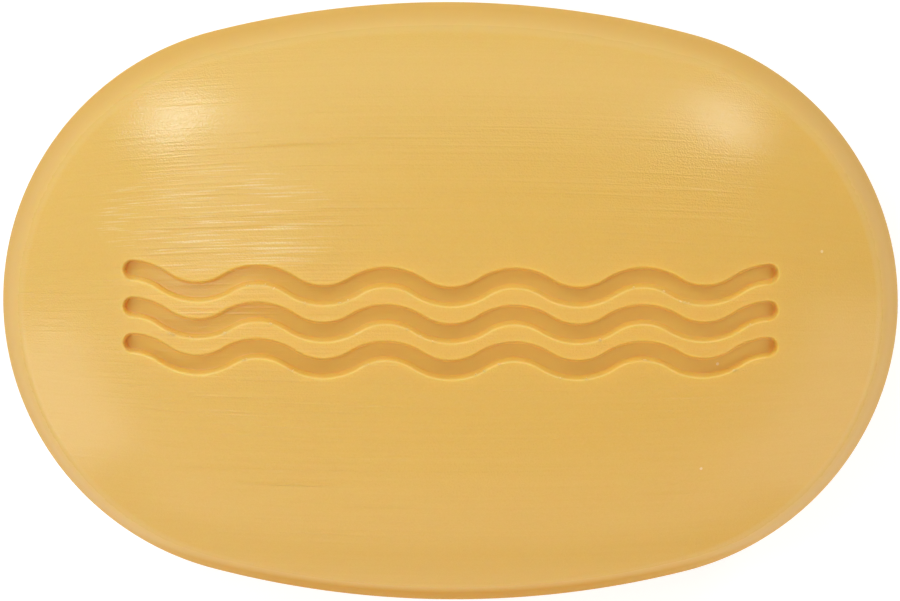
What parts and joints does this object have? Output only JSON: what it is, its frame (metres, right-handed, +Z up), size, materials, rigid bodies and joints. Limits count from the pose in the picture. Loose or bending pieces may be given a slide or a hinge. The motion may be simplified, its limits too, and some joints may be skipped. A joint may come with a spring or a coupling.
{
  "type": "bar of soap",
  "caption": "Oval die-stamped bar of soap: domed faces, a drafted side wall with a soft crease, plain waves sunk in the top and a small flat to rest on.",
  "frame": {"origin": "middle of the flat on the lower crown that the bar rests on", "axes": "+X along the length, +Y across the width, +Z up through the stamped face"},
  "size_m": [0.092, 0.062, 0.0292],
  "materials": {
    "soap": null
  },
  "bodies": {
    "root": {"soap_bar": "soap"}
  },
  "joints": []
}
